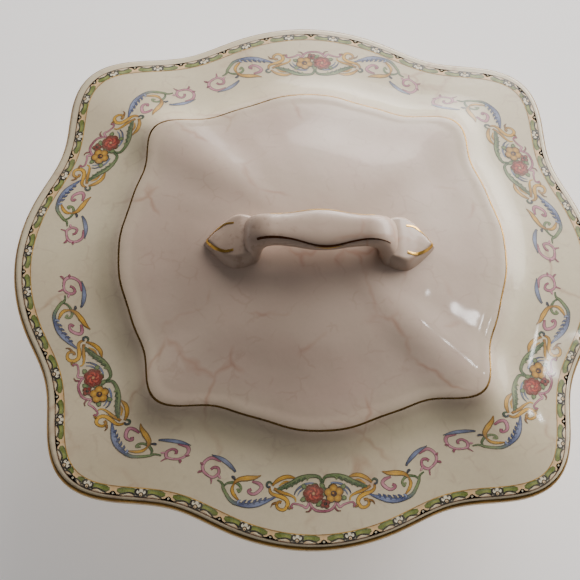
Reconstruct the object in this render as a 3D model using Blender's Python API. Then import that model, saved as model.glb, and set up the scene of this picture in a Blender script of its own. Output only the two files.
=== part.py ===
"""Covered butter dish in glazed earthenware: deep dish, pierced drainer, lid and its bar handle.

Every piece is square with serpentine sides. Its outline is a mean radius and a few cosine waves,
so a piece is a stack of such outlines (rings), one per level.
Lengths are in millimetres up to the meshes, which are in metres. The dish stands on z = 0, +Z is
up and the handle runs along X.
"""
import bmesh
import bpy
from math import atan2, cos, hypot, pi, sin

MM = 0.001
SEGMENTS = 72            # points round an outline, nine to each quarter side
GAP = 0.35               # clearance between touching pieces

# Outline waves: shares of the mean radius, for one cosine per order. The waves that repeat four
# times round make the square; the small ones of order 2 and 6 are the ware's warp from the kiln.
WAVE_ORDERS = (2, 4, 6, 8, 12, 16, 20)
RIM_WAVES = (-0.008, -0.0373, 0.0, 0.0434, -0.0149, 0.0020, 0.0004)      # deep serpentine sides
LINE_WAVES = (0.009, -0.0472, -0.008, 0.0403, -0.0183, 0.0103, -0.0053)  # the lid's shoulder
CROWN_WAVES = (0.006, -0.0450, -0.004, 0.0200, -0.0080, 0.0040, 0.0)     # under the handle
FOOT_WAVES = (-0.004, -0.0450, 0.0, 0.0120, 0.0, 0.0, 0.0)               # a soft square
TWIST = 0.035            # the lid's roof is turned this far on its rim, in radians
DRIFT_X, DRIFT_Y = 0.9, 0.35     # and its middle lies this far from the rim's

# Levels
RIM_Z = 40.0             # mid-thickness of the lid's rim above the table
SEAT_Z = 37.9            # top of the dish's rim, which the lid rests on
LEDGE_Z = 19.4           # ledge inside the dish, which the drainer rests on

# Mean radii
RIM_R = 95.5             # lid, outer edge
LINE_R = 62.7            # lid, shoulder where the flange meets the roof
MOUTH_R = 86.0           # dish, inner edge of the rim
VERGE_R = 83.8           # lid, locating ring that drops into the dish's mouth
FOOT_R = 54.0            # dish, outside of the foot ring

# Lid: (mean radius, height above the rim's mid-thickness), from the centre outwards.
LID_TOP = ((12, 17.3), (24, 16.5), (35, 14.9), (48, 12.0), (58, 10.0), (LINE_R, 9.0), (66, 7.2),
           (70, 5.5), (76, 4.2), (84, 3.1), (92, 2.0), (94.8, 1.1), (RIM_R, 0.0))
LID_TOP_CENTRE = 17.4
LID_UNDER = ((95.0, -1.2), (93.6, -1.8), (VERGE_R + 0.7, -1.8), (VERGE_R, -2.4), (VERGE_R - 0.2, -6.6),
             (VERGE_R - 0.9, -7.2), (VERGE_R - 2.9, -7.2), (VERGE_R - 3.6, -6.6), (VERGE_R - 4.0, -0.6),
             (74, 0.7), (69, 1.9), (63, 4.4), (57, 6.2), (47, 8.4), (34, 11.3), (22, 12.9), (11, 13.7))
LID_UNDER_CENTRE = 13.8

# Dish: (mean radius, height above the table), from the middle of its underside, over the rim and in.
DISH_UNDER_CENTRE = 3.6
DISH_RINGS = ((30, 3.6), (46.5, 3.6), (49.4, 0.6), (50.0, 0.0), (53.2, 0.0), (FOOT_R, 0.6), (54.8, 4.2),
              (60, 6.8), (68, 11.8), (76, 19.2), (83, 27.6), (88, 32.8), (91.4, 34.6), (92.6, 36.2),
              (92.2, 37.4), (91.2, SEAT_Z), (MOUTH_R + 1.0, SEAT_Z), (MOUTH_R, 37.1), (85.0, 33.2),
              (80.0, 26.6), (74.4, 21.4), (73.8, LEDGE_Z + 0.2), (69.6, LEDGE_Z), (68.4, 18.4),
              (65.6, 15.2), (58, 10.2), (48, 7.9), (28, 7.4))
DISH_FLOOR_CENTRE = 7.3

# Drainer: a flat pierced plate with rounded edges
DRAINER_R = 72.2
DRAINER_THICK = 3.5
DRAINER_HOLE_R = 3.2
DRAINER_FINGER_HOLE_R = 8.0
DRAINER_HOLE_CIRCLES = ((8, 24.0), (12, 41.0))       # (holes, radius of their circle)
HOLE_SIDES = 12

# Handle: (distance from its centre, top, underside, half width); heights above the rim's middle.
# Past the leg the underside lies on the lid, so its height there only has to be low enough.
HANDLE_DRIFT = 2.6       # the handle sits this far towards +X
HANDLE_STATIONS = ((0.0, 26.6, 22.3, 6.3), (5.0, 26.6, 22.2, 5.9), (9.0, 26.5, 22.3, 5.2),
                   (13.0, 26.5, 22.1, 5.0), (15.5, 26.2, 20.6, 5.3), (17.5, 25.6, 16.0, 6.0),
                   (19.5, 24.4, 12.0, 7.2), (21.5, 22.4, 12.0, 8.6), (24.0, 19.9, 12.0, 9.3),
                   (27.0, 18.2, 12.0, 8.0), (30.5, 17.0, 12.0, 5.4), (33.5, 16.2, 12.0, 2.7),
                   (35.4, 15.9, 12.0, 0.9))
HANDLE_SIDES = 20        # points round a section of the bar
HANDLE_SQUARENESS = 0.75  # 1 is an ellipse, less is boxier


def clear_scene():
    for thing in list(bpy.data.objects):
        bpy.data.objects.remove(thing, do_unlink=True)


def make_material(name, colour, roughness):
    """Glazed earthenware in one colour."""
    material = bpy.data.materials.new(name)
    material.use_nodes = True
    shader = material.node_tree.nodes["Principled BSDF"]
    shader.inputs["Base Color"].default_value = (*colour, 1.0)
    shader.inputs["Roughness"].default_value = roughness
    shader.inputs["Metallic"].default_value = 0.0
    material.diffuse_color = (*colour, 1.0)
    return material


def blend(first, second, share):
    """Mix two sets of waves: share 0 gives the first, 1 the second."""
    share = min(max(share, 0.0), 1.0)
    return [a + (b - a) * share for a, b in zip(first, second)]


def lid_waves(radius):
    if radius > LINE_R:
        return blend(LINE_WAVES, RIM_WAVES, (radius - LINE_R) / (RIM_R - LINE_R))
    return blend(CROWN_WAVES, LINE_WAVES, radius / LINE_R)


def dish_waves(radius):
    return blend(FOOT_WAVES, RIM_WAVES, (radius - FOOT_R) / (MOUTH_R - FOOT_R))


def lid_warp(radius):
    """Twist and sideways shift of a lid outline, full on the roof and none at the rim."""
    share = min(1.0, (RIM_R - radius) / (RIM_R - LINE_R))
    return TWIST * share, DRIFT_X * share, DRIFT_Y * share


def no_warp(radius):
    return 0.0, 0.0, 0.0


def reach(waves, angle):
    """Radius of an outline in one direction, as a share of its mean radius."""
    return 1.0 + sum(wave * cos(order * angle) for order, wave in zip(WAVE_ORDERS, waves))


def ring_points(radius, z, waves_at, warp_at):
    """One outline of a piece, as points in metres."""
    waves = waves_at(radius)
    twist, shift_x, shift_y = warp_at(radius)
    points = []
    for step in range(SEGMENTS):
        angle = 2 * pi * step / SEGMENTS
        length = radius * reach(waves, angle)
        x = length * cos(angle + twist) + shift_x
        y = length * sin(angle + twist) + shift_y
        points.append((x * MM, y * MM, z * MM))
    return points


def bridge(mesh, ring, following):
    """Join two loops of the same length with a band of quads."""
    count = len(ring)
    for step in range(count):
        after = (step + 1) % count
        mesh.faces.new((ring[step], ring[after], following[after], following[step]))


def close_with_fan(mesh, ring, centre, reverse):
    """Close a loop with triangles that meet at one point."""
    count = len(ring)
    for step in range(count):
        after = (step + 1) % count
        corners = (ring[after], ring[step], centre) if reverse else (ring[step], ring[after], centre)
        mesh.faces.new(corners)


def finish_object(name, mesh, material, smooth_angle=0.7):
    bmesh.ops.recalc_face_normals(mesh, faces=mesh.faces)
    data = bpy.data.meshes.new(name)
    mesh.to_mesh(data)
    mesh.free()
    data.shade_smooth()
    data.set_sharp_from_angle(angle=smooth_angle)
    data.materials.append(material)
    piece = bpy.data.objects.new(name, data)
    bpy.context.scene.collection.objects.link(piece)
    return piece


def ring_stack(name, rings, start_z, end_z, waves_at, warp_at, material):
    """Closed body from a stack of outlines, with a pole in the middle at its start and its end."""
    mesh = bmesh.new()
    loops = []
    for radius, z in rings:
        loops.append([mesh.verts.new(p) for p in ring_points(radius, z, waves_at, warp_at)])
    for ring, following in zip(loops, loops[1:]):
        bridge(mesh, ring, following)
    _, shift_x, shift_y = warp_at(0.0)
    start = mesh.verts.new((shift_x * MM, shift_y * MM, start_z * MM))
    end = mesh.verts.new((shift_x * MM, shift_y * MM, end_z * MM))
    close_with_fan(mesh, loops[0], start, True)
    close_with_fan(mesh, loops[-1], end, False)
    return finish_object(name, mesh, material)


def lid_top_height(x, y):
    """Height of the lid's upper face over a point, in millimetres above the table."""
    radius = hypot(x, y)
    for _ in range(8):
        twist, shift_x, shift_y = lid_warp(radius)
        u, v = x - shift_x, y - shift_y
        radius = hypot(u, v) / reach(lid_waves(radius), atan2(v, u) - twist)
    inner = (0.0, LID_TOP_CENTRE)
    for outer in LID_TOP:
        if radius <= outer[0]:
            share = (radius - inner[0]) / (outer[0] - inner[0])
            return RIM_Z + inner[1] + (outer[1] - inner[1]) * share
        inner = outer
    return RIM_Z


def add_dish(material):
    return ring_stack("base_dish", DISH_RINGS, DISH_UNDER_CENTRE, DISH_FLOOR_CENTRE, dish_waves,
                      no_warp, material)


def add_lid_shell(material):
    rings = [(radius, RIM_Z + height) for radius, height in LID_TOP + LID_UNDER]
    return ring_stack("lid_shell", rings, RIM_Z + LID_TOP_CENTRE, RIM_Z + LID_UNDER_CENTRE,
                      lid_waves, lid_warp, material)


def add_hole_cutter(name, x, y, radius, z):
    bpy.ops.mesh.primitive_cylinder_add(vertices=HOLE_SIDES, radius=radius * MM, depth=0.02,
                                        location=(x * MM, y * MM, z * MM))
    cutter = bpy.context.object
    cutter.name = name
    cutter.hide_render = True
    cutter.display_type = "WIRE"
    return cutter


def add_drainer(material):
    """Plate that holds the butter above the melt water, pierced all over."""
    low = LEDGE_Z + GAP
    high = low + DRAINER_THICK
    rings = ((DRAINER_R - 1.0, low), (DRAINER_R, low + 1.0), (DRAINER_R, high - 1.0),
             (DRAINER_R - 1.0, high))
    mesh = bmesh.new()
    loops = []
    for radius, z in rings:
        loops.append([mesh.verts.new(p) for p in ring_points(radius, z, dish_waves, no_warp)])
    for ring, following in zip(loops, loops[1:]):
        bridge(mesh, ring, following)
    mesh.faces.new(reversed(loops[0]))
    mesh.faces.new(loops[-1])
    drainer = finish_object("drainer", mesh, material)
    middle = (low + high) / 2
    cutters = [add_hole_cutter("hole_centre", 0.0, 0.0, DRAINER_FINGER_HOLE_R, middle)]
    for count, circle in DRAINER_HOLE_CIRCLES:
        for step in range(count):
            angle = 2 * pi * (step + 0.5) / count
            name = "hole_%d_%02d" % (count, step)
            cutters.append(add_hole_cutter(name, circle * cos(angle), circle * sin(angle),
                                           DRAINER_HOLE_R, middle))
    for cutter in cutters:
        cut = drainer.modifiers.new(cutter.name, "BOOLEAN")
        cut.operation = "DIFFERENCE"
        cut.solver = "EXACT"
        cut.object = cutter
    return drainer


def power(value, exponent):
    return abs(value) ** exponent * (1 if value >= 0 else -1)


def handle_section(x, top, under, half_width):
    """One section of the bar across X, kept clear of the lid below it."""
    points = []
    for step in range(HANDLE_SIDES):
        angle = 2 * pi * step / HANDLE_SIDES
        y = half_width * power(cos(angle), HANDLE_SQUARENESS)
        middle = (top + max(under, lid_top_height(x, 0) - RIM_Z)) / 2
        side = (top if sin(angle) > 0 else under) - middle
        z = RIM_Z + middle + side * abs(power(sin(angle), HANDLE_SQUARENESS))
        points.append((x * MM, y * MM, max(z, lid_top_height(x, y) + GAP) * MM))
    return points


def add_handle(material):
    """Bar handle cast on its own and luted to the lid by two leaf-shaped feet."""
    stations = [(-x, top, under, width) for x, top, under, width in reversed(HANDLE_STATIONS[1:])]
    stations += HANDLE_STATIONS
    mesh = bmesh.new()
    loops = []
    for x, top, under, half_width in stations:
        section = handle_section(HANDLE_DRIFT + x, top, under, half_width)
        loops.append([mesh.verts.new(p) for p in section])
    for ring, following in zip(loops, loops[1:]):
        bridge(mesh, ring, following)
    mesh.faces.new(reversed(loops[0]))
    mesh.faces.new(loops[-1])
    return finish_object("lid_handle", mesh, material, smooth_angle=1.0)


def build():
    clear_scene()
    ivory = (0.68, 0.64, 0.56)
    add_dish(make_material("dish_glaze", ivory, 0.15))
    add_drainer(make_material("drainer_glaze", ivory, 0.18))
    add_lid_shell(make_material("lid_glaze", ivory, 0.12))
    add_handle(make_material("handle_glaze", (0.66, 0.62, 0.55), 0.14))


build()
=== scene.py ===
"""Looks of the covered butter dish: fine glazed bodies, gilding, printed decoration, light and camera.

Drawing is done in millimetres, with X along the handle and z above the table, and turned into
metres when a mesh is made. The lid's upper face is one height function, so the gilt lines and the
printed border and swags are laid on it exactly.
"""

from math import cos, pi, radians, sin

import bpy
import numpy as np
from mathutils import Matrix, Vector
from mathutils.geometry import delaunay_2d_cdt


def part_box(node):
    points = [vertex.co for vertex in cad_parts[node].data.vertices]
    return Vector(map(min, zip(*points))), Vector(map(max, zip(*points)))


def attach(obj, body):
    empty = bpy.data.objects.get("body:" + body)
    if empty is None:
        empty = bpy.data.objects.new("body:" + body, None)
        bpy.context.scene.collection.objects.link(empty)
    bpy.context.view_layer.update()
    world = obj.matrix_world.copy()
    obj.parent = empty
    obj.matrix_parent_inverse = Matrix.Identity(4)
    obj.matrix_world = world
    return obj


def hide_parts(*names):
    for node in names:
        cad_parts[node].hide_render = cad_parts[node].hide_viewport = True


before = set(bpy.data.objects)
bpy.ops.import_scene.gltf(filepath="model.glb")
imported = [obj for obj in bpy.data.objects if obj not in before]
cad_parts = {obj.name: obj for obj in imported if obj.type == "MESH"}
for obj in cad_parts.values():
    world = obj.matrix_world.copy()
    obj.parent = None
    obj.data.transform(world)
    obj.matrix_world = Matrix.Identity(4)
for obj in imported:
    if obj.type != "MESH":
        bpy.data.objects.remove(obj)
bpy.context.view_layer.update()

MM = 0.001
ROUND = 360              # points round a fine outline

# Outline waves: shares of the mean radius, for one cosine per order. The rim's and the line's are
# least squares fits to the photograph, and so are the twist and drift. The others are guesses.
WAVE_ORDERS = np.array((2, 4, 6, 8, 12, 16, 20))
RIM_WAVES = (-0.008, -0.0373, 0.0, 0.0434, -0.0149, 0.0020, 0.0004)
LINE_WAVES = (0.009, -0.0472, -0.008, 0.0403, -0.0183, 0.0103, -0.0053)
CROWN_WAVES = (0.006, -0.0450, -0.004, 0.0200, -0.0080, 0.0040, 0.0)
FOOT_WAVES = (-0.004, -0.0450, 0.0, 0.0120, 0.0, 0.0, 0.0)
TWIST = 0.035            # the roof is turned this far on its rim, in radians
DRIFT = (0.9, 0.35)      # and its middle lies this far from the rim's
HANDLE_DRIFT = 2.6       # how far the handle sits off the middle, along X

RIM_R = 95.5             # mean radii of the lid's edge, its shoulder line and its verge
LINE_R = 62.7
VERGE_R = 83.8
VERGE_DROP = 7.2
RIM_ROUND = 1.8          # radius of the rounded rim, half its thickness
RIM_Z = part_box("lid_shell")[0].z / MM + VERGE_DROP
FOOT_R = 54.0
MOUTH_R = 86.0
SEAT_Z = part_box("base_dish")[1].z / MM
DRAINER_R = 72.2
HOLE_R = 3.2
FINGER_HOLE_R = 8.0
HOLE_CIRCLES = ((8, 24.0), (12, 41.0))       # (holes, radius of their circle)
DRAINER_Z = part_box("drainer")[0].z / MM
DRAINER_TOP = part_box("drainer")[1].z / MM

LID_TOP = ((0, 17.4), (12, 17.3), (24, 16.5), (35, 14.9), (48, 12.0), (58, 10.0), (LINE_R, 9.0),
           (66, 7.2), (70, 5.5), (76, 4.2), (84, 3.1), (RIM_R - RIM_ROUND, RIM_ROUND))
LID_UNDER = ((RIM_R - 2.6, -1.8), (VERGE_R + 2.5, -1.8), (VERGE_R + 0.7, -1.8), (VERGE_R, -2.4),
             (VERGE_R - 0.2, -6.6), (VERGE_R - 0.9, -7.2), (VERGE_R - 2.9, -7.2),
             (VERGE_R - 3.6, -6.6), (VERGE_R - 4.0, -0.9), (74, 0.7), (69, 1.9), (63, 4.4),
             (57, 6.2), (47, 8.4), (34, 11.3), (22, 12.9), (11, 13.7), (1, 13.8))
DISH_RINGS = ((1, 3.6), (30, 3.6), (46.0, 3.6), (49.4, 0.6), (50.0, 0.02), (53.2, 0.02), (FOOT_R, 0.6),
              (54.8, 4.2), (60, 6.8), (68, 11.8), (76, 19.2), (83, 27.6), (88, 32.8), (91.4, 34.6),
              (92.6, 36.2), (92.2, 37.4), (91.2, SEAT_Z - 0.05), (MOUTH_R + 1.0, SEAT_Z - 0.05),
              (MOUTH_R, 37.1), (85.0, 33.2), (80.0, 26.6), (74.4, 21.2), (73.6, 19.7), (72.0, 19.4),
              (69.6, 19.4), (68.4, 18.4), (65.6, 15.2), (58, 10.2), (48, 7.9), (28, 7.4), (1, 7.3))

# Handle, from its middle: centre line of bar and leg, half thickness and half width, then the feet.
HANDLE_LINE = ((0, 24.2), (4, 24.15), (9, 24.05), (13, 24.0), (16.0, 23.8), (18.2, 23.0), (19.9, 21.5),
               (20.9, 19.4), (21.5, 16.8), (21.8, 13.6))
HANDLE_THICK = (2.4, 2.4, 2.4, 2.45, 2.65, 2.95, 3.2, 3.35, 3.6, 3.9)
HANDLE_WIDTH = (7.1, 6.8, 5.85, 5.35, 5.4, 5.7, 6.2, 7.0, 8.3, 9.2)
HANDLE_BOX = 0.80        # below 1 squares the section off
FOOT_EDGE = ((0.0, 0.0), (0.6, 3.6), (1.8, 6.2), (4.0, 8.5), (6.5, 9.5), (9.0, 9.7), (11.5, 8.6),
             (14.5, 5.9), (17.0, 3.0), (18.4, 1.2), (19.0, 0.0))
FOOT_INNER = 17.4        # where a foot starts, from the handle's middle
FOOT_LENGTH = 19.0
FOOT_RIDGE = ((0.0, 4.0), (7.0, 4.0), (10.0, 3.4), (13.0, 2.7), (16.0, 2.3), (18.0, 2.0), (19.0, 1.9))
FOOT_SKIRT = 2.9         # width of the slope round a foot

# ------------ curves and surfaces

def through(knots, x):
    """Smooth curve through (x, y) knots with no overshoot (monotone cubic)."""
    kx, ky = np.array(knots, float).T
    step = np.diff(kx)
    slope = np.diff(ky) / step
    tangent = np.concatenate([[slope[0]], (slope[:-1] + slope[1:]) / 2, [slope[-1]]])
    turning = slope[:-1] * slope[1:] <= 0
    tangent[1:-1][turning] = 0
    limit = 3 * np.minimum(np.abs(np.append(slope, slope[-1])), np.abs(np.insert(slope, 0, slope[0])))
    tangent = np.clip(tangent, -limit, limit)
    x = np.clip(np.asarray(x, float), kx[0], kx[-1])
    i = np.clip(np.searchsorted(kx, x) - 1, 0, len(step) - 1)
    t = (x - kx[i]) / step[i]
    return ((2 * t**3 - 3 * t**2 + 1) * ky[i] + (t**3 - 2 * t**2 + t) * step[i] * tangent[i]
            + (3 * t**2 - 2 * t**3) * ky[i + 1] + (t**3 - t**2) * step[i] * tangent[i + 1])


def smooth_path(points, spacing):
    """Even points along a Catmull-Rom curve through the given points."""
    p = np.array(points, float)
    p = np.vstack([2 * p[0] - p[1], p, 2 * p[-1] - p[-2]])
    t = np.linspace(0, 1, 24, endpoint=False)[:, None]
    parts = []
    for a, b, c, d in zip(p, p[1:], p[2:], p[3:]):
        parts.append(0.5 * (2 * b + (c - a) * t + (2 * a - 5 * b + 4 * c - d) * t**2
                            + (3 * b - a - 3 * c + d) * t**3))
    fine = np.vstack(parts + [p[-2:-1]])
    length = np.concatenate([[0], np.cumsum(np.linalg.norm(np.diff(fine, axis=0), axis=1))])
    count = max(3, int(round(length[-1] / spacing)) + 1)
    at = np.linspace(0, length[-1], count)
    return np.stack([np.interp(at, length, fine[:, k]) for k in range(fine.shape[1])], axis=1)


def mixed(inner, outer, share):
    share = np.clip(share, 0, 1)[..., None]
    return np.array(inner) * (1 - share) + np.array(outer) * share


def lid_waves(radius):
    roof = mixed(CROWN_WAVES, LINE_WAVES, radius / LINE_R)
    flange = mixed(LINE_WAVES, RIM_WAVES, (radius - LINE_R) / (RIM_R - LINE_R))
    return np.where((radius > LINE_R)[..., None], flange, roof)


def dish_waves(radius):
    return mixed(FOOT_WAVES, RIM_WAVES, (radius - FOOT_R) / (MOUTH_R - FOOT_R))


def lid_warp(radius):
    """How far the roof's twist and shift apply: fully on the roof, not at all at the rim."""
    return np.minimum(1.0, (RIM_R - radius) / (RIM_R - LINE_R))


def no_warp(radius):
    return 0.0 * radius


def reach(waves, angle):
    return 1 + np.sum(waves * np.cos(angle[..., None] * WAVE_ORDERS), axis=-1)


def plan(radius, angle, waves_at=lid_waves, warp_at=lid_warp):
    """Plan position of points given by their outline's mean radius and their direction."""
    length = radius * reach(waves_at(radius), angle)
    warp = warp_at(radius)
    turned = angle + TWIST * warp
    return length * np.cos(turned) + DRIFT[0] * warp, length * np.sin(turned) + DRIFT[1] * warp


def lid_radius(x, y):
    """Mean radius of the lid outline that passes through each plan point."""
    radius = np.hypot(x, y)
    for _ in range(12):
        warp = lid_warp(radius)
        u, v = x - DRIFT[0] * warp, y - DRIFT[1] * warp
        radius = np.hypot(u, v) / reach(lid_waves(radius), np.arctan2(v, u) - TWIST * warp)
    return radius


def lid_height(x, y):
    """Height of the lid's upper face over plan points, above the table."""
    radius = lid_radius(x, y)
    inside = RIM_R - RIM_ROUND
    over = np.clip(radius - inside, 0, RIM_ROUND)
    rounding = np.sqrt(RIM_ROUND**2 - over**2) - RIM_ROUND
    return RIM_Z + through(LID_TOP, np.minimum(radius, inside)) + rounding


def normals_of(height, x, y, reach_mm=0.05):
    """Unit normals of a height function."""
    dx = (height(x + reach_mm, y) - height(x - reach_mm, y)) / (2 * reach_mm)
    dy = (height(x, y + reach_mm) - height(x, y - reach_mm)) / (2 * reach_mm)
    n = np.stack([-dx, -dy, np.ones_like(dx)], axis=-1)
    return n / np.linalg.norm(n, axis=-1, keepdims=True)


def lay_on(height, x, y, lift):
    """Points lifted off a height function along its normals, and the normals."""
    n = normals_of(height, x, y)
    base = np.stack([x, y, height(x, y)], axis=-1)
    return base + n * np.asarray(lift)[..., None], n


def linear(r, g, b):
    """Linear colour from 8-bit display values."""
    c = np.array([r, g, b]) / 255
    return tuple(np.where(c <= 0.04045, c / 12.92, ((c + 0.055) / 1.055) ** 2.4))


def linear_mix(tints, share):
    """Linear colours along a run of display colours."""
    table = np.array([linear(*tint) for tint in tints])
    at = np.linspace(0, 1, len(tints))
    return np.stack([np.interp(share, at, table[:, k]) for k in range(3)], axis=1)


def grid_faces(rows, columns, closed_columns=False, closed_rows=False):
    """Quads of a rows by columns grid of points, numbered row by row."""
    faces = []
    for r in range(rows if closed_rows else rows - 1):
        r2 = (r + 1) % rows
        for c in range(columns if closed_columns else columns - 1):
            c2 = (c + 1) % columns
            faces.append((r * columns + c, r * columns + c2, r2 * columns + c2, r2 * columns + c))
    return faces


# ------------ printed decoration, as drawn

SWAG_RING = 78.0         # radius of the curve that each swag is drawn along
SWAG_REACH = 34.0        # distance from a swag's middle at which its bends are given
# Where the transfers lie: direction and distance of the middle, tilt, and how far each half bends.
# They were fitted to the photograph by a scratch script.
SWAGS = ((29.8, 79.9, -11.5, -5.1, 7.3), (88.6, 78.5, 4.9, 2.3, -1.1), (147.9, 78.9, 1.7, 2.2, 0.9),
         (213.8, 78.7, -12.5, -5.3, 7.4), (272.1, 78.7, -0.5, 0.6, 1.7), (329.4, 80.5, 9.3, 8.1, -2.4))
LAYER_START = 0.03       # the print lies this far above the glaze, and each layer of it a step more
LAYER_STEP = 0.012
GILT_LIFT = 0.10         # edge of the handle's gilt lines, above its glaze
BORDER_EDGE = 2.4        # outer line of the border, in from the lid's edge
BORDER_WIDTH = 2.7
BORDER_SHIFT = (0.4, -0.8)   # the border was laid a little off the middle of the rim
STROKE_FULLNESS = 1.22   # share by which the swags' strokes are drawn wider than given
# The border was laid in two lengths: where each starts, its repeat, and how far its middle slid on.
BORDER_RUNS = ((79.75, 15.6, 2.4), (386.5, 15.38, 5.4))
BORDER_REPEATS = 20

INK = (26, 18, 18)
LEAF = (66, 90, 50)
LEAF_PALE = (122, 138, 84)
OCHRE = (146, 98, 24)
YELLOW = (220, 164, 44)
BLUE = (60, 70, 112)
BLUE_PALE = (128, 138, 172)
SLATE = (42, 48, 72)
PINK = (146, 66, 90)
PINK_PALE = (206, 138, 152)
ROSE = (142, 32, 28)
ROSE_PALE = (214, 92, 70)
ROSE_DEEP = (120, 40, 36)
ROSE_SHADE = (110, 34, 30)
ROSE_HEART = (232, 176, 120)
BUD = (100, 44, 24)
RIBBON = (100, 112, 34)
RIBBON_PALE = (142, 148, 68)
PEACH = (224, 180, 122)
PAPER = (240, 228, 200)
UMBER = (104, 60, 28)

# Strokes of one half of a swag, in (along, inward) millimetres from its middle: a path, relative
# widths spread evenly along it, its half width, and the colours it runs through. Most of the points
# were picked on crops of the photograph and turned into millimetres by a scratch script, so the
# scrolls follow the photographed print.
HALF_SWAG = (
    (((-8.4, -1.0), (-7.9, 0.4), (-6.6, 1.7), (-5.3, 2.5), (-3.5, 2.9), (-2.6, 2.8)),
     (0.4, 1, 1, 0.6), 0.30, (SLATE, BLUE_PALE)),
    (((-7.4, -1.2), (-6.9, 0.0), (-5.9, 1.0), (-4.9, 1.6)), (0.4, 1, 0.6), 0.24, (BLUE_PALE, SLATE)),
    (((-0.1, 2.8), (-0.7, 4.4), (-2.1, 5.0), (-4.5, 4.9), (-6.7, 4.2), (-8.1, 3.4), (-10.0, 2.1),
      (-12.1, 0.9), (-13.5, 0.2)), (0.5, 0.7, 0.8, 1, 1.2, 1.1, 0.9, 0.5), 0.62, (LEAF, LEAF_PALE, LEAF)),
    (((-15.2, 1.0), (-14.5, 2.1), (-13.1, 3.4), (-10.9, 4.3), (-8.1, 4.1)),
     (0.5, 0.9, 1, 0.9, 0.2), 0.58, (OCHRE, YELLOW, OCHRE)),
    (((-13.2, 1.2), (-11.6, 2.6), (-9.6, 3.1)), (0.4, 1, 0.2), 0.34, (YELLOW, OCHRE)),
    (((-15.3, 1.5), (-16.1, 2.0), (-16.9, 1.4), (-16.6, 0.5), (-15.8, 0.5)), (0.6, 1, 1, 0.8), 0.32,
     (LEAF, SLATE)),
    (((-16.0, 0.7), (-15.5, -0.9), (-14.3, -1.6), (-12.2, -1.9), (-10.6, -2.6), (-10.0, -3.9),
      (-10.5, -5.3), (-11.5, -5.8), (-12.6, -5.4), (-13.1, -4.5), (-12.6, -3.5), (-11.8, -3.6)),
     (0.5, 0.8, 1, 1.1, 1, 0.9, 0.8, 0.7, 0.8), 0.52, (OCHRE, YELLOW, YELLOW, OCHRE)),
    (((-14.6, 0.2), (-11.7, -0.7), (-9.7, -1.1), (-8.1, -1.9), (-7.8, -3.0)), (0.8, 1, 0.9, 0.6, 0.3),
     0.48, (OCHRE, YELLOW)),
    (((-13.2, -3.9), (-14.2, -4.4), (-14.6, -5.5)), (1, 0.7, 0.2), 0.36, (OCHRE, UMBER)),
    (((0.0, -5.6), (-0.8, -5.6), (-2.2, -5.2), (-3.3, -4.1), (-3.9, -3.2), (-4.7, -4.6), (-5.9, -4.0),
      (-7.6, -3.6), (-8.6, -3.7), (-9.0, -4.7), (-8.4, -4.9)), (1, 1, 0.9, 0.9, 0.8, 0.7, 0.9), 0.36,
     (PINK, PINK_PALE, PINK)),
    (((-3.2, -4.4), (-3.9, -5.6), (-4.9, -5.8)), (0.9, 0.8, 0.4), 0.30, (PINK, UMBER)),
    (((-13.7, -2.2), (-17.0, -4.4), (-20.2, -6.1), (-23.3, -6.6), (-25.6, -6.3), (-27.5, -4.9),
      (-29.0, -3.4), (-29.5, -2.5), (-30.3, -2.0), (-31.5, -1.8)),
     (0.3, 0.8, 1.2, 1.1, 0.9, 0.8, 0.7, 0.6, 0.3), 0.62, (BLUE, BLUE_PALE, BLUE, LEAF_PALE, LEAF)),
    (((-29.1, -3.0), (-28.4, -1.7), (-26.6, -0.8), (-25.1, -0.9), (-24.1, -1.8), (-24.3, -3.1),
      (-25.1, -2.2)), (0.5, 0.8, 1, 0.9, 0.8, 0.7), 0.40, (LEAF, LEAF_PALE)),
    (((-26.5, -1.0), (-26.5, -2.8), (-25.6, -4.2), (-23.6, -5.6)), (0.5, 1, 1, 0.4), 0.44,
     (OCHRE, YELLOW, OCHRE)),
    (((-26.5, -1.0), (-25.4, 0.5), (-23.1, 1.6), (-20.8, 2.4), (-19.2, 3.4)), (0.6, 1, 1.2, 0.9, 0.2),
     0.62, (OCHRE, YELLOW, OCHRE)),
    (((-21.4, 1.0), (-19.4, 0.9), (-18.3, 0.1), (-18.7, -1.2), (-19.9, -2.5), (-21.2, -2.6),
      (-21.8, -2.0), (-21.0, -1.3)), (0.6, 1, 1, 0.9, 0.8, 0.8), 0.50, (PINK, PINK_PALE, PINK)),
    (((-36.3, 4.4), (-33.0, 4.5), (-30.2, 3.9), (-27.8, 2.8), (-27.2, 2.2)), (0.2, 0.8, 1.1, 1, 0.5),
     0.56, (SLATE, BLUE_PALE, SLATE)),
    (((-27.9, 0.7), (-27.1, 0.6), (-26.5, 0.0)), (0.6, 1, 0.5), 0.40, (SLATE, INK)),
    (((-32.6, 3.6), (-35.5, 3.7), (-37.0, 2.3), (-37.3, 0.4), (-36.4, -1.0), (-34.9, -1.6),
      (-33.4, -2.0), (-32.7, -3.7)), (0.4, 0.9, 1, 1, 1, 0.9, 0.7, 0.3), 0.44, (PINK, PINK_PALE, PINK)),
    (((-34.9, -1.6), (-33.0, -1.6), (-31.9, 0.0), (-32.5, 1.5), (-33.9, 1.3), (-34.5, 0.3)),
     (0.6, 0.9, 1, 0.9, 0.8), 0.42, (PINK_PALE, PINK)),
)
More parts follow.
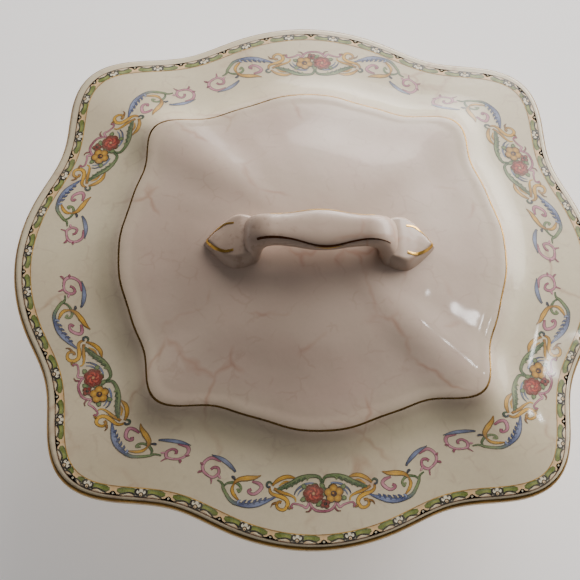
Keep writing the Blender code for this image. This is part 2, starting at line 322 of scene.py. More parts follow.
# Frills of the leaves: where each starts and ends, along its half of the swag, and its colours.
FRILLS = (
    ((-5.2, 4.5), (-6.3, 3.1), LEAF), ((-6.8, 3.9), (-7.8, 2.3), LEAF), ((-8.2, 3.1), (-9.2, 1.3), LEAF),
    ((-9.6, 2.2), (-10.8, 0.5), LEAF), ((-11.2, 1.3), (-12.3, -0.1), LEAF),
    ((-4.0, 4.7), (-4.6, 3.6), LEAF_PALE),
    ((-16.4, -4.0), (-16.2, -2.7), BLUE), ((-17.9, -4.8), (-17.5, -3.2), BLUE),
    ((-19.4, -5.6), (-18.8, -3.8), BLUE), ((-20.9, -6.1), (-20.2, -4.3), BLUE),
    ((-22.3, -6.4), (-21.6, -4.7), BLUE), ((-23.7, -6.5), (-23.2, -5.2), BLUE_PALE),
    ((-36.6, -1.2), (-37.6, -2.4), PINK), ((-37.2, 0.6), (-38.4, 0.9), PINK),
    ((-31.6, -0.3), (-30.6, -1.0), PINK_PALE), ((-9.9, -4.6), (-8.9, -5.2), OCHRE),
)
ROSE_AT = (-2.7, -0.3)
DAISY_AT = (3.3, -0.5)
LEAVES = (((-0.3, -1.2), (0.9, 1.6)), ((-5.2, 1.1), (-6.4, 2.3)), ((5.6, 1.0), (6.9, 2.2)),
          ((-4.9, -1.6), (-6.6, -2.4)), ((5.4, -1.7), (6.8, -2.6)), ((0.2, 1.2), (-0.8, 2.8)),
          ((-0.6, -2.6), (-2.0, -4.0)), ((1.9, 1.0), (2.8, 2.6)), ((-1.4, 1.6), (-3.2, 2.6)))


class Print:
    """Collects coloured strips and discs, drawn in a motif's own (along, inward) millimetres."""

    def __init__(self, place):
        self.place = place
        self.spots, self.colours, self.lifts, self.faces = [], [], [], []
        self.count = 0

    def add(self, points, colours, layer, faces):
        self.spots.append(np.stack(self.place(points[:, 0], points[:, 1]), axis=1))
        self.colours.append(colours)
        self.lifts.append(np.full(len(points), LAYER_START + LAYER_STEP * layer))
        self.faces += [tuple(k + self.count for k in face) for face in faces]
        self.count += len(points)

    def stroke(self, path, widths, half_width, tints, layer, spacing=0.3, rim=0.26, vein=0.5):
        """Stroke with dark edges and a fine vein, its widths and tints spread evenly along it."""
        line = smooth_path(path, spacing)
        share = np.linspace(0, 1, len(line))
        width = half_width * np.interp(share, np.linspace(0, 1, len(widths)), widths)
        tint = linear_mix(tints, share)
        tangent = np.gradient(line, axis=0)
        tangent /= np.linalg.norm(tangent, axis=1, keepdims=True) + 1e-9
        side = np.stack([-tangent[:, 1], tangent[:, 0]], axis=1)
        across = np.array((-1.0, -0.74, -0.55, -0.2, -0.08, 0.06, 0.58, 0.78, 1.0))
        tone = np.array((rim, rim, 0.9, 1.12, vein, 1.15, 0.95, rim, rim))
        points = line[:, None] + side[:, None] * width[:, None, None] * across[:, None]
        colours = np.clip(tint[:, None] * tone[:, None], 0, 1)
        self.add(points.reshape(-1, 2), colours.reshape(-1, 3), layer, grid_faces(len(line), len(tone)))

    def disc(self, centre, radius, middle, edge, layer, sides=14, start=0.0):
        """Filled spot whose colour runs from its middle to its edge."""
        turn = start + np.linspace(0, 2 * pi, sides, endpoint=False)
        rim = np.stack([np.cos(turn) * radius, np.sin(turn) * radius], axis=1)
        points = np.vstack([[0, 0], rim]) + centre
        colours = np.vstack([[linear(*middle)], np.repeat([linear(*edge)], sides, axis=0)])
        faces = [(0, 1 + k, 1 + (k + 1) % sides) for k in range(sides)]
        self.add(points, colours, layer, faces)

    def patch(self, corners, tints, layer):
        """Polygon with a colour at each corner."""
        colours = np.array([linear(*tint) for tint in tints])
        self.add(np.array(corners, float), colours, layer, [tuple(range(len(corners)))])


def swag_place(direction, distance, tilt, bend_before, bend_after):
    """Plan position of a swag's drawing, as its transfer lies on the flange."""
    middle = np.array([cos(radians(direction)), sin(radians(direction))]) * distance
    turn = radians(direction + tilt)

    def place(along, inward):
        bend = np.where(along < 0, bend_before, bend_after) * (along / SWAG_REACH) ** 2
        length = SWAG_RING - inward - bend
        out = length * np.cos(along / SWAG_RING) - SWAG_RING
        side = length * np.sin(along / SWAG_RING)
        return (middle[0] + out * cos(turn) - side * sin(turn),
                middle[1] + out * sin(turn) + side * cos(turn))
    return place


def border_outline(count=1440):
    """Outer line of the border in plan, evenly spaced, with its inward directions."""
    angle = np.linspace(0, 2 * pi, 4001)
    x, y = plan(np.full(angle.shape, RIM_R), angle)
    path = np.stack([x, y], axis=1)
    tangent = np.gradient(path, axis=0)
    tangent /= np.linalg.norm(tangent, axis=1, keepdims=True)
    inward = np.stack([-tangent[:, 1], tangent[:, 0]], axis=1)
    path = path + inward * BORDER_EDGE + np.array(BORDER_SHIFT)
    length = np.concatenate([[0], np.cumsum(np.linalg.norm(np.diff(path, axis=0), axis=1))])
    at = np.linspace(0, length[-1], count + 1)
    even = np.stack([np.interp(at, length, path[:, k]) for k in range(2)], axis=1)
    facing = np.stack([np.interp(at, length, inward[:, k]) for k in range(2)], axis=1)
    return even, facing, length[-1]


def border_place(outline, facing, length, start):
    """Plan position of a border unit's drawing, whose middle is a length along the border."""
    at = np.linspace(0, length, len(outline))

    def place(along, inward):
        where = (start + along) % length
        x = np.interp(where, at, outline[:, 0]) + np.interp(where, at, facing[:, 0]) * inward
        y = np.interp(where, at, outline[:, 1]) + np.interp(where, at, facing[:, 1]) * inward
        return x, y
    return place


def flipped(path, side):
    return [(along * side, inward) for along, inward in path]


def draw_flower(ink, centre, petals, size, middle, edge, heart, start):
    """Open flower: petals with dark edges round a heart."""
    for k in range(petals):
        turn = start + 2 * pi * k / petals
        spot = (centre[0] + size * 0.62 * cos(turn), centre[1] + size * 0.62 * sin(turn))
        ink.disc(spot, size * 0.56, edge, INK, 4, start=turn)
        ink.disc(spot, size * 0.47, middle, edge, 5, start=turn)
    ink.disc(centre, size * 0.36, heart, INK, 6)
    ink.disc((centre[0] - size * 0.08, centre[1] + size * 0.08), size * 0.15, middle, heart, 7)


def draw_rose(ink, centre, size):
    """Full rose: ragged outer petals, then a whorl of lighter strokes."""
    for k in range(7):
        turn = 0.4 + 2 * pi * k / 7
        spot = (centre[0] + size * 0.66 * cos(turn), centre[1] + size * 0.6 * sin(turn))
        ink.disc(spot, size * 0.46, ROSE, BUD, 4, start=turn)
    ink.disc(centre, size * 0.72, ROSE, ROSE_DEEP, 5)
    for k in range(5):
        turn = 0.9 + 2 * pi * k / 5
        curl = [(centre[0] + size * r * cos(turn + b), centre[1] + size * r * sin(turn + b))
                for r, b in ((0.30, 0.0), (0.52, 0.5), (0.62, 1.1), (0.48, 1.6))]
        ink.stroke(curl, (0.4, 1, 0.8, 0.3), size * 0.13, (ROSE_PALE, ROSE), 6, rim=0.7)
    ink.disc(centre, size * 0.22, ROSE_HEART, ROSE_SHADE, 7)


def draw_swag(ink):
    for side in (1, -1):
        for layer, (path, widths, half_width, tints) in enumerate(HALF_SWAG):
            ink.stroke(flipped(path, side), widths, half_width * STROKE_FULLNESS, tints, layer % 3)
        for start, end, tint in FRILLS:
            bend = ((start[0] + end[0]) / 2 - 0.3, (start[1] + end[1]) / 2)
            ink.stroke(flipped((start, bend, end), side), (0.5, 1, 0.25), 0.42, (tint, tint), 3)
    for base, tip in LEAVES:
        bend = ((base[0] + tip[0]) / 2 + 0.3, (base[1] + tip[1]) / 2)
        ink.stroke((base, bend, tip), (0.5, 1, 0.9, 0.15), 0.80, (LEAF, LEAF_PALE, LEAF), 3)
    draw_rose(ink, ROSE_AT, 2.85)
    draw_flower(ink, DAISY_AT, 5, 2.6, YELLOW, OCHRE, BUD, 0.3)
    draw_flower(ink, (0.7, -3.4), 4, 1.35, ROSE, BUD, INK, 0.5)


def draw_border_unit(ink, before, after):
    """One repeat round a white trefoil: leaf green ribbons and black ornaments on peach paper."""
    ground = [(-before, BORDER_WIDTH / 2), (0, BORDER_WIDTH / 2), (after, BORDER_WIDTH / 2)]
    ink.stroke(ground, (1, 1), BORDER_WIDTH / 2, (PEACH, PAPER, PEACH), 0, 0.8, rim=0.9, vein=1.0)
    ink.stroke([(-before, 0), (0, 0), (after, 0)], (1, 1), 0.15, (UMBER, UMBER), 1, 0.8, rim=0.5)
    ink.stroke([(-before, BORDER_WIDTH), (0, BORDER_WIDTH), (after, BORDER_WIDTH)], (1, 1), 0.14,
               (OCHRE, YELLOW, OCHRE), 1, 0.8, rim=0.7)
    for side, half in ((1, after), (-1, before)):
        green = flipped(((1.5, 1.6), (2.6, 1.62), (half - 3.4, 1.62), (half - 2.2, 1.55),
                         (half - 1.1, 1.6)), side)
        ink.stroke(green, (0.7, 1, 1, 1, 0.95, 0.4), 1.0, (RIBBON, RIBBON_PALE, RIBBON, RIBBON), 2, 0.3, 0.5,
                   vein=1.05)
        ink.stroke(flipped(((2.1, 2.1), (half - 3.6, 2.2), (half - 1.7, 1.9)), side), (0.3, 1, 0.3), 0.14,
                   (LEAF_PALE, RIBBON), 3, rim=0.8)
        wave = flipped(((1.7, 0.45), (2.5, 0.95), (3.5, 1.15), (4.6, 0.95), (half - 1.9, 0.3)), side)
        ink.stroke(wave, (1.4, 1.1, 0.8, 0.9, 0.6), 0.22, (INK, INK), 4, rim=1.0)
        lens = flipped(((2.1, 0.4), (3.4, 0.62), (4.9, 0.36)), side)
        ink.stroke(lens, (0.2, 1, 0.2), 0.34, (PEACH, PAPER), 3, rim=0.8)
        ink.disc((0.98 * side, 1.55), 1.02, INK, INK, 4)
        ink.disc((0.86 * side, 1.62), 0.66, PAPER, PAPER, 5)
        hook = flipped(((0.35, 0.9), (1.15, 0.75), (1.62, 1.45), (1.3, 2.25), (0.75, 2.15), (0.8, 1.7)), side)
        ink.stroke(hook, (1, 1.3, 1.2, 1, 0.6), 0.21, (INK, INK), 6, rim=1.0)
        wing = flipped(((half - 2.9, 0.0), (half - 1.0, 0.42), (half - 0.55, 1.05), (half, 1.3),
                        (half, 0.0)), side)
        ink.patch(wing, (INK,) * len(wing), 5)
        ink.disc((half * side, 0.58), 0.36, PAPER, PAPER, 6)
    ink.disc((0, 1.75), 0.62, PAPER, PAPER, 5)
    ink.disc((0, 0.72), 0.78, INK, INK, 6)
    ink.disc((0, 0.74), 0.46, PAPER, PEACH, 7)
    ink.disc((0, 0.60), 0.18, INK, INK, 8)
    ink.stroke([(-1.9, 0.16), (0, 0.26), (1.9, 0.16)], (0.4, 1, 0.4), 0.26, (INK, INK), 5, rim=1.0)


def border_stops(length):
    """Where the border's trefoils lie along it, in order, from its two lengths of transfer."""
    share = np.linspace(0, 1, BORDER_REPEATS)
    steps = np.arange(BORDER_REPEATS)
    stops = [start + repeat * steps + slide * np.sin(pi * share**0.9)
             for start, repeat, slide in BORDER_RUNS]
    return np.sort(np.concatenate(stops) % length)


# ------------ making meshes

def add_piece(name, points, faces, material, body, normals=None, colours=None):
    """A mesh object in metres that rides on a CAD body."""
    mesh = bpy.data.meshes.new(name)
    mesh.from_pydata((np.asarray(points) * MM).tolist(), [], faces)
    mesh.validate()
    mesh.shade_smooth()
    mesh.materials.append(material)
    if colours is not None:
        layer = mesh.color_attributes.new("ink", "FLOAT_COLOR", "POINT")
        rgba = np.ones((len(points), 4), np.float32)
        rgba[:, :3] = colours
        layer.data.foreach_set("color", rgba.ravel())
    if normals is not None:
        mesh.normals_split_custom_set_from_vertices(normals.tolist())
    piece = bpy.data.objects.new(name, mesh)
    bpy.context.scene.collection.objects.link(piece)
    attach(piece, body)
    return piece


def turned_body(profile, waves_at, warp_at):
    """Closed body from a profile of (mean radius, height) that starts and ends near its middle."""
    angle = np.linspace(0, 2 * pi, ROUND, endpoint=False)
    radius = np.repeat(profile[:, 0], ROUND)
    x, y = plan(radius, np.tile(angle, len(profile)), waves_at, warp_at)
    points = np.stack([x, y, np.repeat(profile[:, 1], ROUND)], axis=1)
    faces = [tuple(reversed(f)) for f in grid_faces(len(profile), ROUND, closed_columns=True)]
    last = (len(profile) - 1) * ROUND
    faces.append(tuple(range(ROUND)))
    faces.append(tuple(range(last + ROUND - 1, last - 1, -1)))
    return points, faces


def ribbon(path, normals, half_width):
    """Strip of three columns along a path, lying across the given normals and raised in its middle."""
    tangent = np.gradient(path, axis=0)
    side = np.cross(normals, tangent)
    side /= np.linalg.norm(side, axis=1, keepdims=True)
    half_width = np.broadcast_to(half_width, len(path))[:, None]
    middle = path + normals * GILT_LIFT * 1.6
    edge = path + normals * GILT_LIFT
    columns = np.stack([edge - side * half_width, middle, edge + side * half_width], axis=1)
    return columns.reshape(-1, 3), grid_faces(len(path), 3)


# ------------ materials

ROOF_STAIN_AND_SHADE = (196, 172, 154)    # glaze of the roof and handle, darker and pinker: partly its real stain and partly painted shade


class Nodes:
    """Short way to write a material's node tree."""

    def __init__(self, name):
        self.material = bpy.data.materials.new(name)
        self.material.use_nodes = True
        self.tree = self.material.node_tree
        self.shader = self.tree.nodes["Principled BSDF"]
        self.coords = self.add("ShaderNodeTexCoord").outputs["Object"]

    def add(self, kind, **values):
        node = self.tree.nodes.new(kind)
        for key, value in values.items():
            setattr(node, key, value)
        return node

    def link(self, source, target):
        self.tree.links.new(source, target)

    def noise(self, scale, detail=3.0, roughness=0.55, distortion=0.0):
        node = self.add("ShaderNodeTexNoise")
        self.link(self.coords, node.inputs["Vector"])
        node.inputs["Scale"].default_value = scale
        node.inputs["Detail"].default_value = detail
        node.inputs["Roughness"].default_value = roughness
        node.inputs["Distortion"].default_value = distortion
        return node

    def ramp(self, source, low, high, low_value=0.0, high_value=1.0):
        node = self.add("ShaderNodeMapRange")
        self.link(source, node.inputs["Value"])
        for key, value in (("From Min", low), ("From Max", high), ("To Min", low_value),
                           ("To Max", high_value)):
            node.inputs[key].default_value = value
        return node.outputs["Result"]

    def math(self, operation, a, b):
        node = self.add("ShaderNodeMath", operation=operation)
        for socket, value in zip(node.inputs, (a, b)):
            if isinstance(value, (int, float)):
                socket.default_value = value
            else:
                self.link(value, socket)
        return node.outputs["Value"]

    def mix(self, factor, a, b):
        node = self.add("ShaderNodeMix", data_type="RGBA")
        for socket, value in ((node.inputs["Factor"], factor), (node.inputs["A"], a),
                              (node.inputs["B"], b)):
            if isinstance(value, (int, float)):
                socket.default_value = value
            elif isinstance(value, tuple):
                socket.default_value = (*value, 1.0)
            else:
                self.link(value, socket)
        return node.outputs["Result"]

    def bump(self, height, strength, distance):
        node = self.add("ShaderNodeBump")
        self.link(height, node.inputs["Height"])
        node.inputs["Strength"].default_value = strength
        node.inputs["Distance"].default_value = distance
        self.link(node.outputs["Normal"], self.shader.inputs["Normal"])

    def old_gloss(self):
        """Satin, slightly wavy surface under a thin clear coat, shared by glaze and print."""
        roughness = self.ramp(self.noise(60, 3.0).outputs["Fac"], 0.3, 0.7, 0.36, 0.46)
        self.link(roughness, self.shader.inputs["Roughness"])
        self.shader.inputs["Coat Weight"].default_value = 0.16
        self.shader.inputs["Coat Roughness"].default_value = 0.05
        self.bump(self.noise(75, 3.0).outputs["Fac"], 0.25, 0.0006)


def crazing(nodes, scale, width, sparse):
    """Fine brown cracks in the glaze: warped cell borders, faded in and out by a broad noise."""
    warp = nodes.noise(scale * 2.2, 2.0)
    push = nodes.add("ShaderNodeVectorMath", operation="MULTIPLY_ADD")
    nodes.link(warp.outputs["Color"], push.inputs[0])
    push.inputs[1].default_value = (0.35 / scale,) * 3
    nodes.link(nodes.coords, push.inputs[2])
    cells = nodes.add("ShaderNodeTexVoronoi", feature="DISTANCE_TO_EDGE")
    nodes.link(push.outputs["Vector"], cells.inputs["Vector"])
    cells.inputs["Scale"].default_value = scale
    line = nodes.ramp(cells.outputs["Distance"], 0.0, width, 1.0, 0.0)
    patches = nodes.ramp(nodes.noise(scale * 0.9, 2.0).outputs["Fac"], sparse, sparse + 0.12)
    return nodes.math("MULTIPLY", line, patches)


def glaze(name, tint=(221, 206, 174), stain=1.0, stain_and_shade_above=None, spotted_to=None):
    """Old glaze: mottled, blushed pinkish, painted darker and pinker above a height (partly stain, partly
    shade), crazed, and spotted brown up to a place along X.
    """
    n = Nodes(name)
    body = n.mix(n.ramp(n.noise(22, 4.0).outputs["Fac"], 0.35, 0.7), linear(*tint),
                 linear(tint[0] - 8, tint[1] - 10, tint[2] - 12))
    blush = n.ramp(n.noise(30, 3.0, distortion=0.6).outputs["Fac"], 0.42, 0.74, 0.0, 0.34 * stain)
    if stain_and_shade_above:
        height = n.add("ShaderNodeSeparateXYZ")
        n.link(n.coords, height.inputs[0])
        # Above this height the glaze is painted darker and pinker: partly real stain, partly painted shade.
        wear_and_shade = n.ramp(height.outputs["Z"], stain_and_shade_above[0] * MM, stain_and_shade_above[1] * MM)
        body = n.mix(wear_and_shade, body, linear(*ROOF_STAIN_AND_SHADE))
        blush = n.math("MULTIPLY", blush, n.ramp(wear_and_shade, 0.0, 1.0, 0.45, 1.0))
    body = n.mix(blush, body, linear(188, 150, 136))
    grain = n.ramp(n.noise(900, 2.0).outputs["Fac"], 0.3, 0.7, 0.0, 0.10)
    body = n.mix(grain, body, linear(170, 152, 132))
    body = n.mix(n.math("MULTIPLY", crazing(n, 46, 0.045, 0.50), 0.42 * stain), body,
                 linear(160, 102, 76))
    body = n.mix(n.math("MULTIPLY", crazing(n, 150, 0.07, 0.50), 0.17 * stain), body,
                 linear(140, 96, 78))
    if spotted_to:
        along = n.add("ShaderNodeSeparateXYZ")
        n.link(n.coords, along.inputs[0])
        place = n.ramp(along.outputs["X"], spotted_to[0] * MM, spotted_to[1] * MM, 1.0, 0.0)
        spots = n.ramp(n.noise(420, 3.0, 0.6).outputs["Fac"], 0.56, 0.72, 0.0, 0.3)
        body = n.mix(n.math("MULTIPLY", spots, place), body, linear(112, 70, 40))
    n.link(body, n.shader.inputs["Base Color"])
    n.old_gloss()
    return n.material


def gilding(name, bright, wear=0.5):
    """Burnished gold, thin and brownish where it has worn."""
    n = Nodes(name)
    wear_and_shade = n.ramp(n.noise(160, 4.0, 0.65).outputs["Fac"], 0.42, 0.68, 0.0, wear)
    n.link(n.mix(wear_and_shade, linear(*bright), linear(76, 54, 34)), n.shader.inputs["Base Color"])
    n.link(n.ramp(wear_and_shade, 0.0, 1.0, 1.0, 0.75), n.shader.inputs["Metallic"])
    n.link(n.ramp(n.noise(400, 3.0).outputs["Fac"], 0.3, 0.7, 0.22, 0.36),
           n.shader.inputs["Roughness"])
    n.bump(n.noise(500, 2.0).outputs["Fac"], 0.2, 0.0002)
    return n.material


def printing(name):
    """Enamel print on the glaze: its own painted colours, stippled and a little uneven."""
    n = Nodes(name)
    ink = n.add("ShaderNodeVertexColor", layer_name="ink").outputs["Color"]
    stipple = n.ramp(n.noise(2600, 2.0, 0.7).outputs["Fac"], 0.40, 0.68, 0.0, 0.16)
    colour = n.mix(stipple, ink, linear(206, 198, 176))
    fade = n.ramp(n.noise(120, 3.0).outputs["Fac"], 0.45, 0.8, 0.0, 0.16)
    n.link(n.mix(fade, colour, linear(196, 184, 160)), n.shader.inputs["Base Color"])
    n.old_gloss()
    return n.material


# ------------ glazed bodies

def lid_profile():
    """Closed section of the lid: roof and flange, rounded rim, then the underside and its verge."""
    inside = RIM_R - RIM_ROUND
    radii = np.concatenate([np.arange(1, 56, 1.1), np.arange(56.2, 71, 0.4), np.arange(71, inside, 0.9)])
    top = np.stack([radii, through(LID_TOP, radii)], axis=1)
    turn = np.linspace(pi / 2, -pi / 2, 17)
    rim = np.stack([inside + RIM_ROUND * np.cos(turn), RIM_ROUND * np.sin(turn)], axis=1)
    profile = np.vstack([top, rim, smooth_path(LID_UNDER, 1.1)])
    profile[:, 1] += RIM_Z
    return profile


def add_lid(material):
    points, faces = turned_body(lid_profile(), lid_waves, lid_warp)
    piece = add_piece("lid_body", points, [tuple(reversed(f)) for f in faces], material, "lid")
    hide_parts("lid_shell")


def add_dish(material):
    profile = smooth_path(DISH_RINGS, 1.2)
    profile[:, 1] = np.maximum(profile[:, 1], 0.02)
    points, faces = turned_body(profile, dish_waves, no_warp)
    piece = add_piece("dish_body", points, faces, material, "dish")
    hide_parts("base_dish")


def add_drainer(material):
    """Pierced plate with softened edges: round holes on circles round a finger hole."""
    columns, hole_columns = 240, 36
    turn = np.linspace(0, 2 * pi, columns, endpoint=False)
    holes = [(0.0, 0.0, FINGER_HOLE_R)]
    for count, circle in HOLE_CIRCLES:
        for angle in (np.arange(count) + 0.5) * 2 * pi / count:
            holes.append((circle * cos(angle), circle * sin(angle), HOLE_R))
    edges = [np.stack(plan(np.full(turn.shape, DRAINER_R - 1.0), turn, dish_waves, no_warp), axis=1)]
    ring = np.linspace(0, 2 * pi, hole_columns, endpoint=False)
    circle = np.stack([np.cos(ring), np.sin(ring)], axis=1)
    edges += [np.array((x, y)) + circle * (r + 0.5) for x, y, r in holes]
    flat = np.vstack(edges)
    spans, start = [], 0
    for loop in edges:
        spans += [(start + k, start + (k + 1) % len(loop)) for k in range(len(loop))]
        start += len(loop)
    corners, _, triangles, _, _, _ = delaunay_2d_cdt([Vector(p) for p in flat], spans, [], 1, 1e-6)
    corners = np.array([tuple(p) for p in corners])
    kept = []
    for face in triangles:
        middle = corners[face].mean(axis=0)
        if all(np.hypot(middle[0] - x, middle[1] - y) > r + 0.4 for x, y, r in holes):
            kept.append(tuple(face))
    points, faces = [], []
    for z, flip in ((DRAINER_TOP, False), (DRAINER_Z, True)):
        base = sum(len(p) for p in points)
        points.append(np.column_stack([corners, np.full(len(corners), z)]))
        faces += [tuple(k + base for k in (reversed(face) if flip else face)) for face in kept]
    side = ((-1.0, 0.0), (-0.45, 0.16), (-0.12, 0.5), (0.0, 1.0))
    outer = [(DRAINER_R + r, DRAINER_TOP - z) for r, z in side]
    outer += [(DRAINER_R + r, DRAINER_Z + z) for r, z in reversed(side)]
    for radius, z in outer:
        x, y = plan(np.full(turn.shape, radius), turn, dish_waves, no_warp)
        points.append(np.stack([x, y, np.full(turn.shape, z)], axis=1))
    base = sum(len(p) for p in points[:2])
    for face in grid_faces(len(outer), columns, closed_columns=True):
        faces.append(tuple(k + base for k in reversed(face)))
    wall = ((0.5, 0.0), (0.22, 0.08), (0.06, 0.25), (0.0, 0.5))
    inner = [(r, DRAINER_TOP - z) for r, z in wall] + [(r, DRAINER_Z + z) for r, z in reversed(wall)]
    for x, y, r in holes:
        base = sum(len(p) for p in points)
        for more, z in inner:
            points.append(np.column_stack([(x, y) + circle * (r + more), np.full(len(circle), z)]))
        for face in grid_faces(len(inner), hole_columns, closed_columns=True):
            faces.append(tuple(k + base for k in face))
    piece = add_piece("drainer_plate", np.vstack(points), faces, material, "drainer_body")
    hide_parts("drainer")


def signed_power(value, exponent):
    return np.sign(value) * np.abs(value) ** exponent


def handle_line():
    """Whole centre line of the handle with its half thickness and half width, end to end."""
    half = np.array([(x, z, a, b) for (x, z), a, b in zip(HANDLE_LINE, HANDLE_THICK, HANDLE_WIDTH)])
    line = np.vstack([half[:0:-1] * (-1, 1, 1, 1), half])
    return smooth_path(line, 0.3)


def handle_section(line, turn):
    """Points round each station of the centre line: turn 0 faces the back, a quarter turn the top."""
    tangent = np.gradient(line[:, :2], axis=0)
    tangent /= np.linalg.norm(tangent, axis=1, keepdims=True)
    up = np.stack([-tangent[:, 1], tangent[:, 0]], axis=1)
    out = signed_power(np.sin(turn), HANDLE_BOX) * line[:, 2:3]
    return np.stack([line[:, 0:1] + up[:, 0:1] * out + HANDLE_DRIFT,
                     signed_power(np.cos(turn), HANDLE_BOX) * line[:, 3:4],
                     line[:, 1:2] + up[:, 1:2] * out + RIM_Z], axis=-1)


def foot_height(x, y):
    """Height of a foot's upper face over plan points: a leaf with a sloping skirt."""
    along = np.abs(x - HANDLE_DRIFT) - FOOT_INNER
    half_width = through(FOOT_EDGE, along)
    inside = np.minimum(half_width - np.abs(y), np.minimum(along, FOOT_LENGTH - along) * 1.6)
    rise = np.clip(inside / FOOT_SKIRT, 0, 1)
    bulge = np.sin(rise * pi / 2) ** 0.85
    swell = 0.5 * (1 - np.clip(np.abs(y) / np.maximum(half_width, 0.1), 0, 1) ** 2)
    return lid_height(x, y) - 0.3 + (through(FOOT_RIDGE, along) + swell) * bulge


def add_handle(material):
    line = handle_line()
    columns = 96
    turn = np.linspace(0, 2 * pi, columns, endpoint=False)
    points = handle_section(line, turn).reshape(-1, 3)
    faces = grid_faces(len(line), columns, closed_columns=True)
    faces.append(tuple(range(columns - 1, -1, -1)))
    faces.append(tuple(range((len(line) - 1) * columns, len(line) * columns)))
    piece = add_piece("handle_body", points, [tuple(reversed(f)) for f in faces], material, "lid")
    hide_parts("lid_handle")


def add_foot(name, side, material):
    """Leaf shaped foot of the handle: rows across it, closed below inside the lid's wall."""
    rows, columns = 96, 61
    along = FOOT_LENGTH * (1 - np.cos(np.linspace(0.02, pi - 0.02, rows))) / 2
    across = np.sin(np.linspace(-pi / 2, pi / 2, columns))
    x = np.repeat(HANDLE_DRIFT + side * (FOOT_INNER + along), columns)
    y = np.outer(through(FOOT_EDGE, along), across).ravel()
    top = np.stack([x, y, foot_height(x, y)], axis=1)
    low = np.stack([x, y, lid_height(x, y) - 0.9], axis=1)
    count = len(top)
    faces = grid_faces(rows, columns)
    faces += [tuple(reversed([k + count for k in face])) for face in faces]
    ring = [k for k in range(columns)] + [r * columns + columns - 1 for r in range(1, rows)]
    ring += [(rows - 1) * columns + c for c in range(columns - 2, -1, -1)]
    ring += [r * columns for r in range(rows - 2, 0, -1)]
    for a, b in zip(ring, ring[1:] + ring[:1]):
        faces.append((b, a, a + count, b + count))
    if side > 0:
        faces = [tuple(reversed(face)) for face in faces]
    add_piece(name, np.vstack([top, low]), faces, material, "lid")


# ------------ gilding and print

def add_print(name, ink, material):
    """Lay a collected print on the lid."""
    spots = np.vstack(ink.spots)
    points, normals = lay_on(lid_height, spots[:, 0], spots[:, 1], np.concatenate(ink.lifts))
    faces = [face if turned_up(points, face) else tuple(reversed(face)) for face in ink.faces]
    add_piece(name, points, faces, material, "lid", normals, np.vstack(ink.colours))


def turned_up(points, face):
    a, b, c = points[face[0]], points[face[1]], points[face[2]]
    return (b[0] - a[0]) * (c[1] - a[1]) - (b[1] - a[1]) * (c[0] - a[0]) > 0


def add_decoration():
    material = printing("lid_print")
    for k, place in enumerate(SWAGS):
        ink = Print(swag_place(*place))
        draw_swag(ink)
        add_print("swag_%d" % k, ink, material)
    outline, facing, length = border_outline()
    stops = border_stops(length)
    gaps = (np.roll(stops, -1) - stops) % length
    for part in range(4):
        ink = Print(None)
        for unit in range(part * len(stops) // 4, (part + 1) * len(stops) // 4):
            ink.place = border_place(outline, facing, length, stops[unit])
            draw_border_unit(ink, gaps[unit - 1] / 2, gaps[unit] / 2)
        add_print("border_%d" % part, ink, material)


def add_band(name, section, waves_at, warp_at, material, body, base_z=0.0):
    """Closed gilt band round a piece: its section is a short run of (mean radius, height)."""
    angle = np.linspace(0, 2 * pi, 720, endpoint=False)
    columns = len(section)
    radius = np.tile([r for r, _ in section], len(angle))
    x, y = plan(radius, np.repeat(angle, columns), waves_at, warp_at)
    z = np.tile([z + base_z for _, z in section], len(angle))
    faces = grid_faces(len(angle), columns, closed_rows=True)
    add_piece(name, np.stack([x, y, z], axis=1), [tuple(reversed(f)) for f in faces], material,
              body)


def add_lid_gilding(material):
    """Gold line on the rounded rim and gold line along the shoulder."""
    arc = np.radians(np.linspace(56, 20, 8))
    round_out = RIM_ROUND + 0.03
    rim = [(RIM_R - RIM_ROUND + round_out * cos(a), round_out * sin(a)) for a in arc]
    add_band("rim_gold", rim, lid_waves, lid_warp, material, "lid", RIM_Z)
    shoulder = []
    for offset, lift in ((-0.30, 0.0), (-0.2, 0.035), (0.0, 0.05), (0.2, 0.035), (0.30, 0.0)):
        radius = LINE_R + offset
        shoulder.append((radius, float(through(LID_TOP, radius)) + lift))
    add_band("shoulder_gold", shoulder, lid_waves, lid_warp, material, "lid", RIM_Z)


def add_dish_gilding(material):
    """Gold lines on the dish's outer rim and round its foot."""
    rim = [(92.66, 36.0), (92.72, 36.3), (92.68, 36.6), (92.56, 36.9)]
    foot = [(54.68, 3.2), (54.78, 3.6), (54.92, 4.0), (55.16, 4.3)]
    for name, section in (("dish_rim_gold", rim), ("foot_gold", foot)):
        add_band(name, section[::-1], dish_waves, no_warp, material, "dish")


def add_ribbon(name, path, normals, half_width, material):
    """Gilt line of the handle, from its path and the surface normals under it."""
    points, faces = ribbon(path, normals, half_width)
    faces = [face if turned_up(points, face) else tuple(reversed(face)) for face in faces]
    add_piece(name, points, faces, material, "lid")


def add_bar_line(name, turns, start, end, half_widths, material):
    """Line along the bar, at turns round its section given along its length."""
    line = handle_line()
    line = line[(line[:, 0] > start) & (line[:, 0] < end) & (line[:, 1] > 20)]
    turn = through(turns, line[:, 0])[:, None]
    path = handle_section(line, turn)[:, 0]
    nearby = handle_section(line, turn + 0.02)[:, 0] - handle_section(line, turn - 0.02)[:, 0]
    normals = np.cross(nearby, np.gradient(path, axis=0))
    normals *= np.sign(normals[:, 2:3])
    normals /= np.linalg.norm(normals, axis=1, keepdims=True)
    share = np.linspace(0, 1, len(path))
    width = np.interp(share, np.linspace(0, 1, len(half_widths)), half_widths)
    add_ribbon(name, path, normals, width, material)


